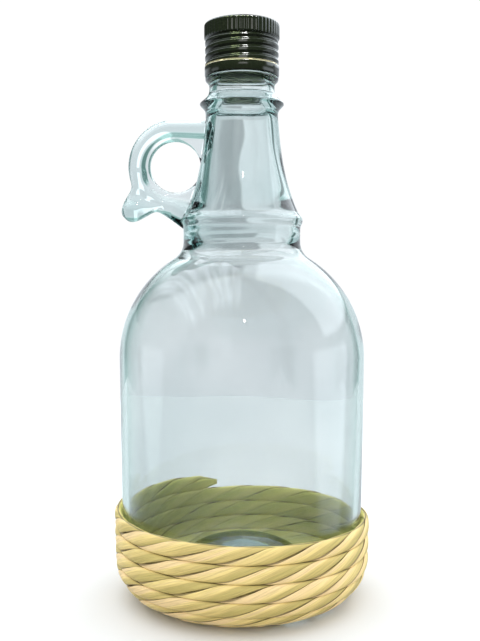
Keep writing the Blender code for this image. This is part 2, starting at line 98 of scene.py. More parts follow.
def smooth_line(corners, steps):
    """A centripetal Catmull-Rom curve: passes through every corner without overshooting."""
    p = np.vstack([2 * corners[0] - corners[1], corners, 2 * corners[-1] - corners[-2]])
    knot = np.concatenate([[0], np.cumsum(np.sqrt(np.linalg.norm(np.diff(p, axis=0), axis=1)))])
    t0, t1, t2, t3 = (knot[i:len(knot) - 3 + i, None, None] for i in range(4))
    p0, p1, p2, p3 = (p[i:len(p) - 3 + i, None, :] for i in range(4))
    t = t1 + (t2 - t1) * np.linspace(0, 1, steps, endpoint=False)[None, :, None]
    a1 = (t1 - t) / (t1 - t0) * p0 + (t - t0) / (t1 - t0) * p1
    a2 = (t2 - t) / (t2 - t1) * p1 + (t - t1) / (t2 - t1) * p2
    a3 = (t3 - t) / (t3 - t2) * p2 + (t - t2) / (t3 - t2) * p3
    b1 = (t2 - t) / (t2 - t0) * a1 + (t - t0) / (t2 - t0) * a2
    b2 = (t3 - t) / (t3 - t1) * a2 + (t - t1) / (t3 - t1) * a3
    curve = (t2 - t) / (t2 - t1) * b1 + (t - t1) / (t2 - t1) * b2
    return np.vstack([curve.reshape(-1, corners.shape[1]), corners[-1:]])


def jug_outline():
    """Outline (radius, height): under the foot, up outside, over the lip and down inside.

    Returns it with the number of points that lie outside.
    """
    fillet = math.degrees(math.atan2(waist_z - shoulder_z, waist_middle - shoulder_middle))
    outside = [
        [
            (0.0, base_z + 0.0125),
            (0.0110, base_z + 0.0118),
            (0.0228, base_z + 0.0070),
            (0.0300, base_z + 0.0016),
        ],
        bend(heel_middle, base_z + heel_radius, heel_radius, -98, 0, 14),
        bend(shoulder_middle, shoulder_z, shoulder_radius, 0, fillet, 26),
        bend(waist_middle, waist_z, waist_fillet, fillet + 180, 180, 9)[1:],
        [
            (waist_radius, waist_ring_z - 0.0037),
            (0.0252, waist_ring_z - 0.0024),
            (0.0258, waist_ring_z - 0.0010),
            (0.0260, waist_ring_z),
            (0.0257, waist_ring_z + 0.0011),
        ],
    ]
    rise = np.linspace(neck_start_z + 0.0014, neck_top_z, 24)
    outside.append(np.stack([neck_taper(rise), rise], 1))
    outside.append([
        (0.0155, bead_z - 0.0034),
        (0.0160, bead_z - 0.0022),
        (0.0173, bead_z - 0.0008),
        (0.0178, bead_z - 0.0002),
        (0.0178, bead_z + 0.0002),
        (0.0172, bead_z + 0.0008),
        (0.0154, bead_z + 0.0024),
        (0.0143, bead_z + 0.0038),
        (0.0139, bead_z + 0.0054),
        (0.0139, collar_z - 0.0034),
        (0.0144, collar_z - 0.0022),
        (0.0153, collar_z - 0.0012),
        (0.0155, collar_z - 0.0003),
        (0.0151, collar_z),
        (0.0141, collar_z + 0.0002),
        (0.0139, collar_z + 0.0012),
        (0.0146, collar_z + 0.0024),
        (0.0139, collar_z + 0.0036),
        (0.0138, lip_z - 0.0010),
        (0.0136, lip_z - 0.0003),
        (0.0130, lip_z),
        (0.0116, lip_z),
        (0.0110, lip_z - 0.0003),
        (0.0108, lip_z - 0.0010),
    ])
    outside = np.vstack([np.array(part, dtype=float) for part in outside])
    inside = [
        [
            (0.0110, bead_z - 0.0020),
            (0.0116, neck_top_z - 0.0010),
            (0.0126, neck_start_z + 0.0310),
            (0.0138, neck_start_z + 0.0225),
            (0.0155, neck_start_z + 0.0140),
            (0.0173, neck_start_z + 0.0080),
            (0.0194, neck_start_z + 0.0040),
            (0.0214, neck_start_z + 0.0010),
            (0.0219, waist_ring_z - 0.0006),
            (0.0211, waist_ring_z - 0.0030),
            (0.0205, waist_ring_z - 0.0055),
            (0.0213, waist_z),
        ],
        bend(waist_middle, waist_z, waist_fillet + wall, 203, fillet + 177, 6),
        bend(shoulder_middle, shoulder_z, shoulder_radius - wall, fillet - 3, 0, 24),
        bend(heel_middle - 0.0004, base_z + 0.0143, 0.0124, 0, -78, 12),
        [
            (0.0320, base_z + 0.0060),
            (0.0255, base_z + 0.0135),
            (0.0170, base_z + 0.0178),
            (0.0, base_z + 0.0196),
        ],
    ]
    inside = np.vstack([np.array(part, dtype=float) for part in inside])
    outside = smooth_line(outside, 3)
    inside = smooth_line(inside, 3)
    return np.vstack([outside, inside]), len(outside)


def mesh_from_grid(name, points, closed_along=True):
    """Quads between neighbours of an (along, across, 3) grid of points.

    The grid is closed into rings across and, unless it has two ends, along as well.
    """
    index = np.arange(points.shape[0] * points.shape[1]).reshape(points.shape[:2])
    index = np.hstack([index, index[:, :1]])
    if closed_along:
        index = np.vstack([index, index[:1]])
    quads = np.stack([index[:-1, :-1], index[1:, :-1], index[1:, 1:], index[:-1, 1:]], -1)
    mesh = bpy.data.meshes.new(name)
    mesh.from_pydata(points.reshape(-1, 3), [], quads.reshape(-1, 4))
    return mesh


def put_in_scene(name, mesh, finish, body, node):
    """Smooth-shade a mesh and add it as a piece that rides on a body in place of its node."""
    mesh.shade_smooth()
    mesh.materials.append(finish)
    piece = bpy.data.objects.new(name, mesh)
    bpy.context.scene.collection.objects.link(piece)
    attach(piece, body)
    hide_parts(node)


def weld_and_turn(mesh, distance):
    """Merge doubled points, such as those at a pole, and face the closed surface outwards."""
    edit = bmesh.new()
    edit.from_mesh(mesh)
    bmesh.ops.remove_doubles(edit, verts=edit.verts, dist=distance)
    bmesh.ops.recalc_face_normals(edit, faces=edit.faces)
    edit.to_mesh(mesh)
    edit.free()


def lathe(name, outline, segments, ripples, shift):
    """Turn an outline of (radius, height) round Z: x = r cos a, y = r sin a.

    The ripples are slow sine waves round and up the surface. The shift moves it along X. Both
    have one number for each point of the outline.
    """
    angle = np.linspace(0, 2 * math.pi, segments, endpoint=False)[None, :]
    r, z = outline[:, :1], outline[:, 1:]
    wave = np.sin(3 * angle + 110 * z + 1.2) + np.sin(2 * angle - 190 * z + 0.4)
    wave = wave + 0.5 * np.sin(5 * angle + 260 * z) + 0.3 * np.sin(340 * z - angle)
    r = r + ripples * wave * np.clip(r / 0.010, 0, 1)
    points = np.stack([r * np.cos(angle) + shift, r * np.sin(angle), z + 0 * angle], -1)
    mesh = mesh_from_grid(name, points)
    weld_and_turn(mesh, 1e-6)
    return mesh


hole_x = -0.0282
hole_z = neck_top_z - 0.0202
hole_radius = 0.0107
ring_reach = 0.0202
ring_top = 0.0196
tail_reach = 0.0106
flare_reach = 0.0062
ring_rod = 0.0034
ring_web = 0.0018
ring_buried = 0.0013
ring_joins = 1500
hole_edge = 0.0016
outer_edge = 0.0026


def ring_outline(turn):
    """Distance from the hole's middle to the ring's outer edge, as a function of direction.

    A circle with a flat top, a tail at the lower left and a flare towards the neck.
    """
    reach = np.where(turn > 0.5 * math.pi, ring_reach, 2 * ring_reach)
    flat_top = ring_top / np.maximum(np.sin(turn), 0.5)
    reach = np.where(np.sin(turn) > 0.5, np.minimum(reach, flat_top), reach)
    tail = np.exp(-(np.abs(turn - math.radians(225)) / math.radians(14.2)) ** 2.8)
    flare = np.clip((turn - math.radians(240)) / math.radians(37), 0, None) ** 2.6
    return reach + tail_reach * tail + flare_reach * flare


def swell(off, radius):
    """Height of a rod above the ring's web, at a distance from its middle: a raised cosine."""
    across = np.clip(off / (1.5 * radius), 0, 1)
    return (radius - ring_web) * (0.5 + 0.5 * np.cos(math.pi * across))


def bar_height(x, z, x0, z0, x1, z1, r0, r1):
    """Height above the ring's web of a bar between two points, with a radius at each."""
    share = ((x - x0) * (x1 - x0) + (z - z0) * (z1 - z0)) / ((x1 - x0) ** 2 + (z1 - z0) ** 2)
    share = np.clip(share, 0, 1)
    off = np.hypot(x - x0 - share * (x1 - x0), z - z0 - share * (z1 - z0))
    return swell(off, r0 + share * (r1 - r0))


def finger_ring():
    """The ring as closed sections from its hole out to its edge, all the way round.

    Its half thickness is that of a thin web, raised to the round rod along its edge, to the arms
    that join it to the neck and to its tail. These three meet in a smooth maximum, the log of a
    sum of exponentials, and the edges are quarters of an ellipse. A section that meets the neck
    stops just inside its glass.
    """
    turn = np.radians(np.linspace(-78, 282, 400, endpoint=False))
    walk = hole_radius + np.linspace(0, 0.026, 260)[None, :]
    walk_x = -hole_x - walk * np.cos(turn)[:, None]
    walk_z = hole_z + walk * np.sin(turn)[:, None]
    neck = np.where(walk_z < neck_start_z, waist_radius, neck_taper(walk_z))
    inside = walk_x < neck - ring_buried
    entry = np.where(inside.any(1), walk[0, inside.argmax(1)], 1.0)
    reach = np.minimum(ring_outline(turn), 0.0400)
    reach = np.minimum(reach, np.maximum(entry, hole_radius + 0.0004))
    share = 0.5 - 0.5 * np.cos(np.linspace(0, math.pi, 41))
    r = hole_radius + share[None, :] * (reach - hole_radius)[:, None]
    x = r * np.cos(turn)[:, None]
    z = r * np.sin(turn)[:, None]
    middle = ring_reach - ring_rod
    rod = swell(np.where(x < 0, np.abs(np.hypot(x, z) - middle), 1.0), ring_rod)
    for arm in (
        (-0.0010, middle, 0.0160, 0.0163, ring_rod, 0.0038),
        (-0.0010, -middle, 0.0075, -0.0208, ring_rod, 0.0050),
        (-0.0183, -0.0183, -0.0060, -0.0166, 0.0048, ring_rod),
    ):
        rod = np.maximum(rod, bar_height(x, z, *arm))
    tail = bar_height(x, z, -0.0136, -0.0136, -0.0183, -0.0183, 0.0034, 0.0049)
    upright = bar_height(x, z, -middle, -0.0030, -0.0176, -0.0140, 0.0032, 0.0036)
    joined = sum(np.exp(ring_joins * part) for part in (rod, tail, upright)) - 2.0
    height = ring_web + np.log(joined) / ring_joins
    for gap, soft in ((r - hole_radius, hole_edge), (reach[:, None] - r, outer_edge)):
        near = np.clip(gap / soft, 0, 1)
        height = height * np.sqrt(1 - (1 - near) ** 2)
    front = np.stack([hole_x + x, -height, hole_z + z], -1)
    back = np.stack([hole_x + x, height, hole_z + z], -1)[:, -2:0:-1]
    mesh = mesh_from_grid("ring", np.concatenate([front, back], 1))
    weld_and_turn(mesh, 1e-7)
    return mesh


def weld_solid(base, tool):
    """Join a second closed solid into the first with an exact union, as one mesh."""
    one = bpy.data.objects.new("one", base)
    other = bpy.data.objects.new("other", tool)
    for item in (one, other):
        bpy.context.scene.collection.objects.link(item)
    union = one.modifiers.new("union", "BOOLEAN")
    union.operation = "UNION"
    union.solver = "EXACT"
    union.object = other
    depsgraph = bpy.context.evaluated_depsgraph_get()
    joined = bpy.data.meshes.new_from_object(one.evaluated_get(depsgraph))
    bpy.data.objects.remove(one)
    bpy.data.objects.remove(other)
    return joined


def new_finish(name):
    """A new material with its node tree, its links and its Principled shader."""
    made = bpy.data.materials.new(name)
    made.use_nodes = True
    return made, made.node_tree, made.node_tree.nodes["Principled BSDF"]


def plug(tree, socket, value):
    """Set a socket to a number or a colour, or link another socket to it."""
    if isinstance(value, bpy.types.NodeSocket):
        tree.links.new(value, socket)
    else:
        socket.default_value = value


def add_node(tree, kind, output, settings, **values):
    """Add a node with its settings, fill its inputs by name and return one output."""
    made = tree.nodes.new("ShaderNode" + kind)
    for name, value in settings.items():
        setattr(made, name, value)
    for name, value in values.items():
        plug(tree, made.inputs[name], value)
    return made.outputs[output]


def ramp(tree, value, start, end, low, high):
    """A smooth step from low to high while a value goes from start to end."""
    made = tree.nodes.new("ShaderNodeMapRange")
    made.interpolation_type = "SMOOTHSTEP"
    for socket, number in zip(made.inputs, (value, start, end, low, high)):
        plug(tree, socket, number)
    return made.outputs["Result"]


def blend(tree, share, first, second):
    """A colour between two colours, by a share from 0 to 1."""
    return add_node(tree, "Mix", "Result", {"data_type": "RGBA"}, Factor=share, A=first, B=second)


def noise(tree, place, scale, detail):
    """Soft random numbers round 0.5 that vary with place."""
    return add_node(tree, "TexNoise", "Fac", {}, Vector=place, Scale=scale, Detail=detail)


clear_cool = (0.82, 0.82, 0.825, 1)
clear_warm = (0.92, 0.905, 0.905, 1)
edge_green = (0.28, 0.50, 0.43, 1)
depth_green = (0.36, 0.62, 0.61, 1)

green_glass, tree, shader = new_finish("green_glass")
shader.inputs["Roughness"].default_value = 0.0
shader.inputs["IOR"].default_value = 1.5
shader.inputs["Transmission Weight"].default_value = 1.0
facing = ramp(tree, add_node(tree, "LayerWeight", "Facing", {}, Blend=0.5), 0.55, 1.0, 0.0, 1.0)
spot = add_node(tree, "TexCoord", "Object", {})
streaks = ramp(tree, noise(tree, spot, 16.0, 2.0), 0.3, 0.7, 0.0, 1.0)
clear = blend(tree, streaks, clear_cool, clear_warm)
tree.links.new(blend(tree, facing, clear, edge_green), shader.inputs["Base Color"])
depth = add_node(tree, "VolumeAbsorption", "Volume", {}, Color=depth_green, Density=80.0)
tree.links.new(depth, tree.nodes["Material Output"].inputs["Volume"])

ripple_height = 0.0001
bore_shift = 0.0009
outline, outside_count = jug_outline()
within = np.clip((np.arange(len(outline)) - outside_count) / 8, 0, 1)[:, None]
near_waist = np.exp(-((outline[:, 1:] - waist_ring_z + 0.0040) / 0.0120) ** 2)
lathed = lathe("jug", outline, 132, ripple_height * within, bore_shift * within * near_waist)
jug_mesh = weld_solid(lathed, finger_ring())
jug_mesh.materials.clear()
put_in_scene("jug_glass", jug_mesh, green_glass, "jug", "glass_bottle")


# Wicker foot: weavers
# Three split willow strands run side by side up a spiral from under the heel to the rim. They
# twist round each other over two stakes and back behind one, so that each row looks like a
# flat rope. The spiral climbs clockwise and ends at the back left.

glass_gap = 0.0003
rope_half = 0.0016
rim_z = 0.0398
row_pitch = 0.0073
row_turns = 5.5
stakes = 18
half_section = math.radians(58)
tucked_end = 0.35
tuck_depth = 0.0009
rim_end = math.radians(111)
heel_z = base_z + heel_radius
sleeve_radius = heel_radius + glass_gap + rope_half
heel_arc = 0.5 * math.pi * sleeve_radius
body_lean = body_taper / (shoulder_z - heel_z)
rim_row = heel_arc + rim_z - heel_z - 0.5 * row_pitch


def spiral_angle(travel):
    """Direction from the axis after so many turns of the spiral, clockwise as it climbs."""
    return rim_end + 2 * math.pi * (row_turns - travel)


def on_sleeve(along, out, angle):
    """A place on the wicker: along its middle from under the heel, and out from the middle.

    Flat under the jug, then round the heel on a circle, then up the body's slight lean.
    """
    turn = np.clip(along / sleeve_radius, 0, 0.5 * math.pi)
    under = np.minimum(along, 0)
    rise = np.maximum(along - heel_arc, 0)
    r = heel_middle + under + (sleeve_radius + out) * np.sin(turn) + body_lean * rise
    z = heel_z - (sleeve_radius + out) * np.cos(turn) + rise
    return np.stack([r * np.cos(angle), r * np.sin(angle), z], -1)


def lay_map(mesh, along, across):
    """A map on a grid closed across: U is the place along it and V the place across it."""
    u = np.stack([along[:-1], along[1:], along[1:], along[:-1]], 1)[:, None, :]
    v = np.stack([across[:-1], across[:-1], across[1:], across[1:]], 1)[None, :, :]
    uv = np.stack(np.broadcast_arrays(u, v), -1)
    mesh.uv_layers.new(name="weave").data.foreach_set("uv", uv.ravel())


def strand(index):
    """One of the three strands of the flat rope, in steps of a twelfth of a stake's distance.

    Round the rope its section is a third of a flattened superellipse, which turns once in three
    stakes. Its trailing edge stands a little proud of the next strand, slow sine waves turn it
    to and fro, and both its ends thin out. At the rim the end is tucked down.
    """
    ends = round(row_turns * stakes)
    last = ends + tucked_end
    walked = np.linspace(0, last, ends * 12)[:, None]
    travel = walked / stakes
    place = walked + index
    wobble = np.sin(2.1 * place + 5 * index) + np.sin(0.83 * place + 2 * index)
    side = np.concatenate([np.linspace(-1, 1, 15), np.linspace(0.8, -0.8, 5)])[None, :]
    core = np.concatenate([np.full(15, 1.0), np.full(5, 0.35)])[None, :]
    turn = math.pi - 2 * math.pi * place / 3 + half_section * side + 0.06 * wobble
    power = 2.7
    rope = (np.abs(np.sin(turn)) ** power + np.abs(np.cos(turn)) ** power) ** (-1 / power)
    crown = 1 - 0.10 * np.abs(side) ** 5 + 0.045 * side
    reach = rope * crown * core
    full = np.clip((last - walked) / 0.5, 0, 1) * np.clip(walked / 0.5, 0, 1)
    reach = reach * (0.30 + 0.70 * full)
    along = rim_row - row_pitch * (row_turns - travel) + 0.5 * row_pitch * reach * np.sin(turn)
    along = along - tuck_depth * np.clip(walked - ends + 1, 0, 1)
    out = rope_half * reach * np.cos(turn) * (1 + 0.04 * wobble)
    points = on_sleeve(along, out, spiral_angle(travel) + 0 * side)
    middles = points.mean(1, keepdims=True) + 0 * points
    points = np.concatenate([middles[:1], points, middles[-1:]])
    mesh = mesh_from_grid(f"strand_{index}", points, closed_along=False)
    rows = np.r_[0, :len(place), -1]
    across = np.concatenate([np.linspace(0, 1, 15), np.linspace(1.1, 1.4, 5), [1.5]])
    lay_map(mesh, place[rows, 0] + 300 * index, across)
    # How far each point faces outwards; the material uses it for painted shade in the valleys and
    # painted light on the inner faces.
    facing_out = mesh.attributes.new("facing_out", "FLOAT", "POINT")
    facing_out.data.foreach_set("value", np.cos(turn)[rows].ravel())
    weld_and_turn(mesh, 1e-7)
    return mesh


olive = (0.62, 0.50, 0.16, 1)
tan = (0.76, 0.59, 0.21, 1)
gold = (0.95, 0.75, 0.29, 1)
peach = (1.0, 0.75, 0.38, 1)
# Brown of the fibres' grain, also painted shade in the gaps of the mat
fibre_and_gap_shade_brown = (0.10, 0.07, 0.02, 1)
# Painted shade: the brown that the grooves between strands and rows are darkened to
groove_shade_brown = (0.12, 0.08, 0.02, 1)
# Painted light on the faces of the strands that turn inwards, towards the glass
painted_inner_light = (1.0, 0.92, 0.24, 1)


def maths(tree, operation, first, second=0.0):
    """One step of arithmetic on two numbers or sockets."""
    made = tree.nodes.new("ShaderNodeMath")
    made.operation = operation
    plug(tree, made.inputs[0], first)
    plug(tree, made.inputs[1], second)
    return made.outputs["Value"]


def times(tree, first, *others):
    """The product of several numbers or sockets."""
    for other in others:
        first = maths(tree, "MULTIPLY", first, other)
    return first


def plus(tree, first, *others):
    """The sum of several numbers or sockets."""
    for other in others:
        first = maths(tree, "ADD", first, other)
    return first


def straw_grain():
    """A node group: fibres and patches of dried willow, from a place and a tone, which for the
    strands and the mat holds painted light and shade.

    The place is in units of a fibre's length and width. As the tone goes from 0 to 1 the colour
    goes from olive through tan and gold to peach. It puts out a colour and a height.
    """
    group = bpy.data.node_groups.new("straw_grain", "ShaderNodeTree")
    face = group.interface
    face.new_socket("Place", in_out="INPUT", socket_type="NodeSocketVector")
    face.new_socket("Tone", in_out="INPUT", socket_type="NodeSocketFloat")
    face.new_socket("Color", in_out="OUTPUT", socket_type="NodeSocketColor")
    face.new_socket("Height", in_out="OUTPUT", socket_type="NodeSocketFloat")
    given = group.nodes.new("NodeGroupInput")
    handed = group.nodes.new("NodeGroupOutput")
    place = given.outputs["Place"]
    fibre = noise(group, place, 1.0, 5.0)
    patch = noise(group, place, 0.22, 1.0)
    tone = times(group, maths(group, "SUBTRACT", patch, 0.5), 1.1)
    tone = plus(group, given.outputs["Tone"], tone)
    low = blend(group, ramp(group, tone, 0.0, 0.4, 0.0, 1.0), olive, tan)
    high = blend(group, ramp(group, tone, 0.6, 1.0, 0.0, 1.0), gold, peach)
    colour = blend(group, ramp(group, tone, 0.3, 0.7, 0.0, 1.0), low, high)
    crest = ramp(group, fibre, 0.30, 0.62, 0.0, 1.0)
    colour = blend(group, crest, blend(group, 0.22, colour, fibre_and_gap_shade_brown), colour)
    group.links.new(colour, handed.inputs["Color"])
    group.links.new(crest, handed.inputs["Height"])
    return group


straw_group = straw_grain()


def grain_of(tree, place, tone):
    """The colour and the height of the straw's grain in a material."""
    grain = tree.nodes.new("ShaderNodeGroup")
    grain.node_tree = straw_group
    plug(tree, grain.inputs["Place"], place)
    plug(tree, grain.inputs["Tone"], tone)
    return grain.outputs["Color"], grain.outputs["Height"]


def bump(tree, shader, height, distance):
    """Let a height between 0 and 1 tilt the surface, as a relief of some depth in metres."""
    relief = add_node(tree, "Bump", "Normal", {}, Strength=1.0, Distance=distance, Height=height)
    tree.links.new(relief, shader.inputs["Normal"])


def parts_of(tree, vector):
    """The three numbers of a vector."""
    made = tree.nodes.new("ShaderNodeSeparateXYZ")
    tree.links.new(vector, made.inputs["Vector"])
    return made.outputs


def place_at(tree, x, y):
    """A vector made of two numbers."""
    return add_node(tree, "CombineXYZ", "Vector", {}, X=x, Y=y)


straw, tree, shader = new_finish("straw")
shader.inputs["Roughness"].default_value = 0.55
along, across, _ = parts_of(tree, add_node(tree, "UVMap", "UV", {"uv_map": "weave"}))
stroke = maths(tree, "FLOOR", maths(tree, "DIVIDE", along, 3.0))
random = add_node(tree, "TexWhiteNoise", "Value", {"noise_dimensions": "1D"}, W=stroke)
# A random tone for each stroke, plus painted light and shade: across each strand the tone rises from
# olive at one edge to peach at the other, lit on one side and shaded on the other.
tone = plus(tree, times(tree, random, 0.6), ramp(tree, across, 0.1, 0.9, -0.25, 0.65))
place = place_at(tree, times(tree, along, 1.6), times(tree, across, 14.0))
colour, fibres = grain_of(tree, place, tone)
bump(tree, shader, fibres, 0.00012)
# Painted shade: each strand darkens to brown along its edges, where it meets the next.
edge = maths(tree, "ABSOLUTE", maths(tree, "SUBTRACT", across, 0.5))
colour = blend(tree, ramp(tree, edge, 0.465, 0.50, 0.0, 0.7), colour, groove_shade_brown)
# Painted shade: on the outside, the valleys between the rows darken to brown as well.
outward = add_node(tree, "Attribute", "Fac", {"attribute_name": "facing_out"})
falling = ramp(tree, outward, -0.15, 0.05, 0.0, 1.0)
valley_shade = times(tree, falling, ramp(tree, outward, 0.15, 0.42, 0.75, 0.0))
colour = blend(tree, valley_shade, colour, groove_shade_brown)
# Painted light: the faces that turn in towards the glass are lightened towards yellow.
colour = blend(tree, ramp(tree, outward, -0.5, 0.0, 0.6, 0.0), colour, painted_inner_light)
tree.links.new(colour, shader.inputs["Base Color"])
for index, letter in enumerate("abc"):
    put_in_scene(f"strand_{letter}", strand(index), straw, "jug", f"weaver_{letter}")


# Wicker foot: stakes and mat
# Eighteen flat splints radiate from a woven mat under the jug, bend up round the heel and
# stand inside the rows to hold them.

def round_the_axis(tree):
    """Direction round Z, distance from Z and height of a place on the surface."""
    x, y, z = parts_of(tree, add_node(tree, "TexCoord", "Object", {}))
    square = plus(tree, maths(tree, "POWER", x, 2), maths(tree, "POWER", y, 2))
    return maths(tree, "ARCTAN2", y, x), maths(tree, "SQRT", square), z


def dress_node(name, finish):
    """Give a solid that shows as it is its material."""
    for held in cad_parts[name].material_slots:
        held.material = finish


dark_straw, tree, shader = new_finish("dark_straw")
shader.inputs["Roughness"].default_value = 0.65
direction, radius, height = round_the_axis(tree)
run = maths(tree, "SUBTRACT", radius, height)
place = place_at(tree, times(tree, direction, 140.0), times(tree, run, 80.0))
colour, fibres = grain_of(tree, place, 0.25)
tree.links.new(colour, shader.inputs["Base Color"])
bump(tree, shader, fibres, 0.0001)
for number in range(1, stakes + 1):
    dress_node(f"stake_{number:02d}", dark_straw)

mat_row = 0.0034
woven_straw, tree, shader = new_finish("woven_straw")
shader.inputs["Roughness"].default_value = 0.65
direction, radius, _ = round_the_axis(tree)
row = maths(tree, "DIVIDE", radius, mat_row)
turned = times(tree, maths(tree, "FLOOR", row), math.pi)
over = maths(tree, "SINE", plus(tree, times(tree, direction, 9.0), turned))
crest = maths(tree, "ABSOLUTE", maths(tree, "SINE", times(tree, row, math.pi)))
relief = times(tree, crest, plus(tree, times(tree, over, 0.25), 0.75))
place = place_at(tree, times(tree, direction, 3.0), times(tree, radius, 2500.0))
# Painted light and shade: the tone is lighter on the tops of the rows, and the gaps between the rows
# darken to brown.
colour, _ = grain_of(tree, place, times(tree, relief, 0.6))
colour = blend(tree, ramp(tree, relief, 0.0, 0.45, 0.0, 1.0), fibre_and_gap_shade_brown, colour)
tree.links.new(colour, shader.inputs["Base Color"])
bump(tree, shader, relief, 0.0008)
dress_node("base_mat", woven_straw)


# Screw cap
# A shell of thin aluminium, lacquered black and rolled onto the neck's thread. Its lower edge
# was cut from the tear-off band. The skirt has a fluted grip and the lid is flat.

cap_radius = 0.01575
cap_wall = 0.0005
cap_corner = 0.0009
thread_pitch = 0.003175
groove_depth = 0.0005
hem_height = 0.0013
pinch_depth = 0.00045
lid_radius = 0.0148
lining_radius = 0.0158
flutes = 54
flute_depth = 0.00028
cap_low_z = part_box("cap_shell")[0].z
cap_top_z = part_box("cap_shell")[1].z
corner_z = cap_top_z - cap_corner
grip_z = cap_top_z - 0.0064


def cap_outside(angle, z):
    """Radius of the cap's skirt by direction and height.

    It is a hem, three grooves rolled round the thread as cosines of the height and the
    direction, a narrow pinch, and a grip whose flutes are cosines of the direction.
    """
    phase = (z - cap_low_z - 0.5 * thread_pitch) / thread_pitch - angle / (2 * math.pi)
    groove = np.clip(-np.cos(2 * math.pi * phase), -0.25, 1)
    above_hem = np.clip((z - cap_low_z) / hem_height, 0, 1)
    below_grip = np.clip((grip_z - 0.0006 - z) / 0.0012, 0, 1)
    skirt = cap_radius - 0.0002 - groove_depth * above_hem * below_grip * (groove + 0.25)
    skirt = skirt - pinch_depth * np.exp(-((z - grip_z + 0.0004) / 0.0005) ** 2)
    flute = 0.5 + 0.5 * np.cos(flutes * angle)
    grip = cap_radius + 0.0002 - flute_depth * (1 - flute ** 0.6)
    share = 1 / (1 + np.exp(-(z - grip_z) / 0.00012))
    return skirt * (1 - share) + grip * share


def turned_shell(name, r, z, lining_from):
    """A closed mesh of rings round Z: x = r cos a, y = r sin a, with its bare metal marked.

    The radius r and the height z have a row for each ring. From the row lining_from on they are
    the inside of the shell, which has no lacquer.
    """
    angle = np.linspace(0, 2 * math.pi, r.shape[1], endpoint=False)[None, :]
    points = np.stack([r * np.cos(angle), r * np.sin(angle), z], -1)
    mesh = mesh_from_grid(name, points)
    marks = np.zeros(points.shape[:2])
    marks[lining_from:] = 1
    mesh.attributes.new("lining", "FLOAT", "POINT").data.foreach_set("value", marks.ravel())
    weld_and_turn(mesh, 1e-7)
    return mesh


angle = np.linspace(0, 2 * math.pi, 7 * flutes, endpoint=False)[None, :]
heights = np.concatenate([
    np.linspace(cap_low_z, grip_z - 0.0008, 60),
    np.linspace(grip_z - 0.0007, grip_z + 0.0006, 14),
    np.linspace(grip_z + 0.001, corner_z, 6),
])[:, None]
bend_up = np.radians(np.linspace(0, 90, 7))[1:, None]
rim_r = cap_outside(angle, corner_z + 0 * bend_up)
to_middle = np.array([0.9, 0.6, 0.3, 0.0])[:, None]
cap_r = np.concatenate([
    cap_outside(angle, heights),
    rim_r - cap_corner * (1 - np.cos(bend_up)) - (rim_r - cap_radius) * np.sin(bend_up),
    to_middle * lid_radius + 0 * angle,
    to_middle[::-1] * lining_radius + 0 * angle,
    cap_outside(angle, heights[::-1]) - cap_wall,
])
cap_z = np.concatenate([
    heights,
    corner_z + cap_corner * np.sin(bend_up),
    cap_top_z + 0 * to_middle,
    cap_top_z - cap_wall + 0 * to_middle,
    np.minimum(heights[::-1], cap_top_z - cap_wall - 0.0001),
]) + 0 * angle
cap_mesh = turned_shell("black_cap", cap_r, cap_z, len(heights) + len(bend_up) + len(to_middle))

black_green = (0.005, 0.007, 0.0035, 1)
rubbed_green = (0.007, 0.009, 0.005, 1)
torn_metal = (0.52, 0.46, 0.30, 1)
lining_gold = (0.72, 0.76, 0.50, 1)
tear_z = 0.5 * (cap_low_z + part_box("tamper_band")[1].z)

black_lacquer, tree, shader = new_finish("black_lacquer")
spot = add_node(tree, "TexCoord", "Object", {})
from_tear = maths(tree, "ABSOLUTE", maths(tree, "SUBTRACT", parts_of(tree, spot)["Z"], tear_z))
bare = ramp(tree, from_tear, 0.00022, 0.00034, 1.0, 0.0)
rubbed = ramp(tree, noise(tree, spot, 900.0, 3.0), 0.45, 0.75, 0.0, 1.0)
lined = add_node(tree, "Attribute", "Fac", {"attribute_name": "lining"})
colour = blend(tree, bare, blend(tree, rubbed, black_green, rubbed_green), torn_metal)
colour = blend(tree, lined, colour, lining_gold)
tree.links.new(colour, shader.inputs["Base Color"])
metal = times(tree, maths(tree, "MAXIMUM", bare, lined), 0.3)
tree.links.new(metal, shader.inputs["Metallic"])
tree.links.new(ramp(tree, rubbed, 0.0, 1.0, 0.12, 0.17), shader.inputs["Roughness"])
put_in_scene("black_cap", cap_mesh, black_lacquer, "cap", "cap_shell")


# Tear-off band
# The lowest strip of the shell stays on the neck, curled in under the glass's locking ring.
# Eight torn bridges stand on its upper edge.

bridges = 8
bridge_height = 0.00022
bridge_half = math.radians(1.6)
first_bridge = math.radians(-77.1)

band_outline = np.array([
    (0.0006, 0.0),
    (0.0002, 0.0002),
    (0.0, 0.0007),
    (0.0, 0.0040),
    (0.0001, 0.0043),
    (0.0004, 0.0043),
    (0.0005, 0.0041),
    (0.0005, 0.0010),
    (0.0008, 0.0006),
    (0.0011, 0.0003),
    (0.0011, 0.0),
])
depth, rise = band_outline[:, :1], band_outline[:, 1:]
step = 2 * math.pi / bridges
off_bridge = np.abs((angle - first_bridge + 0.5 * step) % step - 0.5 * step)
bridge = bridge_height * np.clip(2.2 - off_bridge / bridge_half, 0, 1)
band_r = cap_radius - depth + 0 * angle
band_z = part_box("tamper_band")[0].z + rise + np.where(rise > 0.0042, bridge, 0 * bridge)
band_mesh = turned_shell("tear_band", band_r, band_z, 6)
put_in_scene("tear_band", band_mesh, black_lacquer, "jug", "tamper_band")


# Sealing disc
# A disc of white foam, pushed up under the cap's lid. The rim of the mouth presses into it and
# seals the jug.

